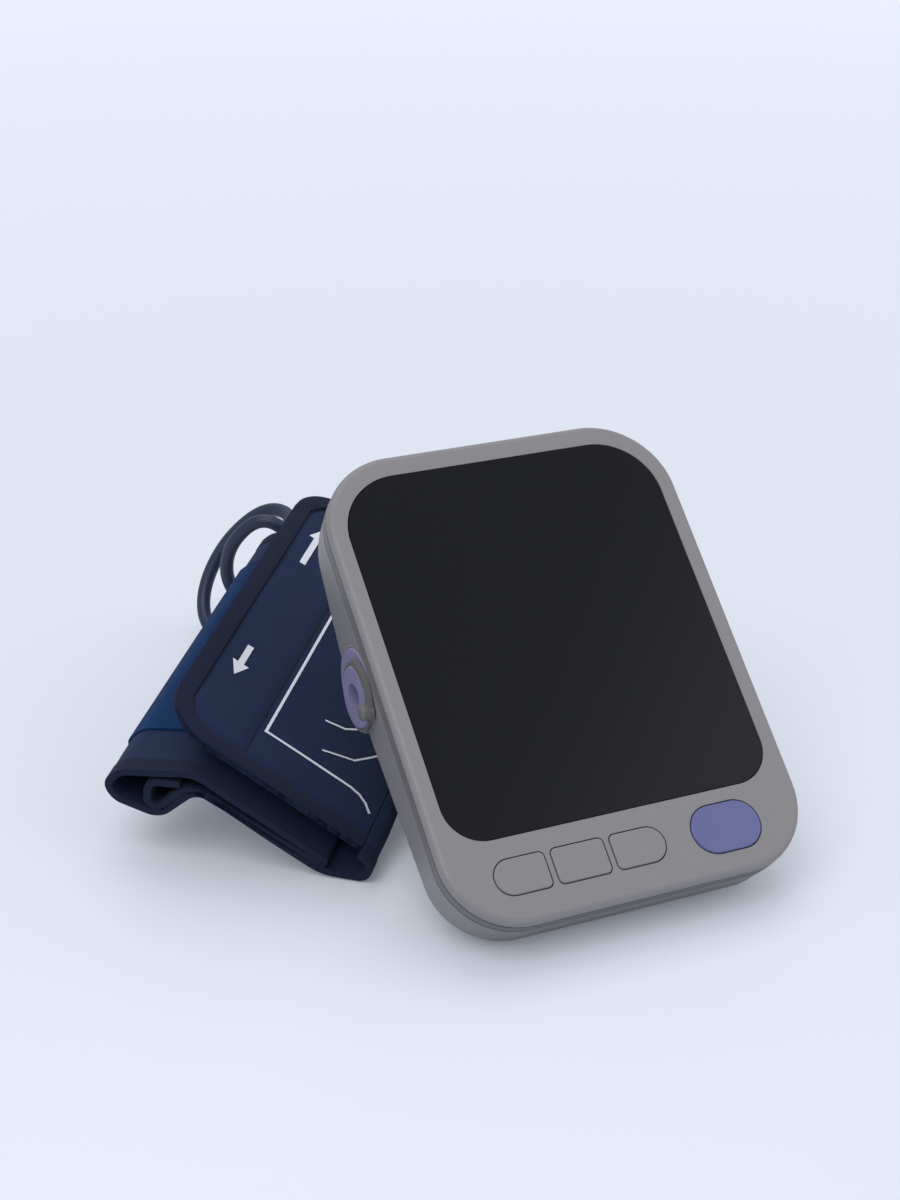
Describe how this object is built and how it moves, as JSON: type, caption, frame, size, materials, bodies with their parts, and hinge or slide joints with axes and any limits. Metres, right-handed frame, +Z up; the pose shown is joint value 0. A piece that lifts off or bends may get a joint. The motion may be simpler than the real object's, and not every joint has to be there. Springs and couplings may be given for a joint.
{
  "type": "upper arm blood pressure monitor",
  "caption": "Upper arm blood pressure monitor with a dark display window and grey housing, standing on its rear foot beside its rolled navy cuff and air hose.",
  "frame": {"origin": "centre of the footprint on the table, hose not counted", "axes": "+X along the monitor's width to its right, +Y to the back, +Z up from the table"},
  "size_m": [0.1751, 0.2284, 0.0998],
  "materials": {
    "housing": "satin",
    "trim": "satin",
    "window": "satin",
    "display": "satin",
    "inner_plastic": "satin",
    "board": "satin",
    "switch_metal": "satin",
    "start": "satin",
    "black_plastic": "satin",
    "pump_metal": "satin",
    "tube_rubber": "satin",
    "lavender": "satin",
    "cell": "satin",
    "spring_steel": "satin",
    "pad_rubber": "satin",
    "screw_steel": "satin",
    "navy_cloth": "satin",
    "lining_cloth": "satin",
    "bladder_rubber": "satin",
    "navy_tape": "satin",
    "loop_pile": "satin",
    "hook_plastic": "satin",
    "hose_rubber": "satin"
  },
  "bodies": {
    "base": {"air_bladder": "bladder_rubber", "air_hose": "hose_rubber", "air_hose_coil": "hose_rubber", "air_hose_tail": "hose_rubber", "air_manifold": "inner_plastic", "air_plug": "lavender", "air_pump": "pump_metal", "batteries": "cell", "battery_contacts": "spring_steel", "buzzer": "black_plastic", "cuff_cloth": "navy_cloth", "cuff_lining": "lining_cloth", "display_holder": "inner_plastic", "display_module": "display", "display_window": "window", "edge_binding": "navy_tape", "front_housing": "housing", "hose_gland": "hose_rubber", "housing_screws": "screw_steel", "inner_air_tubes": "tube_rubber", "key_switches": "switch_metal", "loop_strip": "loop_pile", "main_board": "board", "power_jack": "pump_metal", "pressure_sensor": "black_plastic", "rear_housing": "housing", "release_valve": "pump_metal", "rubber_feet": "pad_rubber", "side_band": "trim", "socket_bezel": "lavender", "socket_collar": "lavender"},
    "left_key": {"left_key": "housing"},
    "middle_key": {"middle_key": "housing"},
    "right_key": {"right_key": "housing"},
    "start_key": {"start_key": "start"},
    "lever": {"socket_lever": "trim"},
    "cover": {"battery_cover": "housing"},
    "flap": {"flap_panel": "navy_cloth", "flap_binding": "navy_tape", "hook_strip": "hook_plastic"}
  },
  "joints": [
    {"name": "left_key_press", "type": "slide", "parent": "base", "child": "left_key", "axis": [0, 0.6561, -0.7547], "range_m": [0, 0.0008], "stiffness_N_per_m": 300},
    {"name": "middle_key_press", "type": "slide", "parent": "base", "child": "middle_key", "axis": [0, 0.6561, -0.7547], "range_m": [0, 0.0008], "stiffness_N_per_m": 300},
    {"name": "right_key_press", "type": "slide", "parent": "base", "child": "right_key", "axis": [0, 0.6561, -0.7547], "range_m": [0, 0.0008], "stiffness_N_per_m": 300},
    {"name": "start_key_press", "type": "slide", "parent": "base", "child": "start_key", "axis": [0, 0.6561, -0.7547], "range_m": [0, 0.0008], "stiffness_N_per_m": 300},
    {"name": "lever_turn", "type": "hinge", "parent": "base", "child": "lever", "pos_m": [-0.02045, -0.03154, 0.04861], "axis": [1, 0, 0], "range_deg": [0, 25]},
    {"name": "cover_slide", "type": "slide", "parent": "base", "child": "cover", "axis": [1, 0, 0], "range_m": [0, 0.016]},
    {"name": "flap_open", "type": "hinge", "parent": "base", "child": "flap", "pos_m": [0.01467, 0.00838, 0.0182], "axis": [0.6232, 0.7696, 0.1392], "range_deg": [0, 30]}
  ]
}
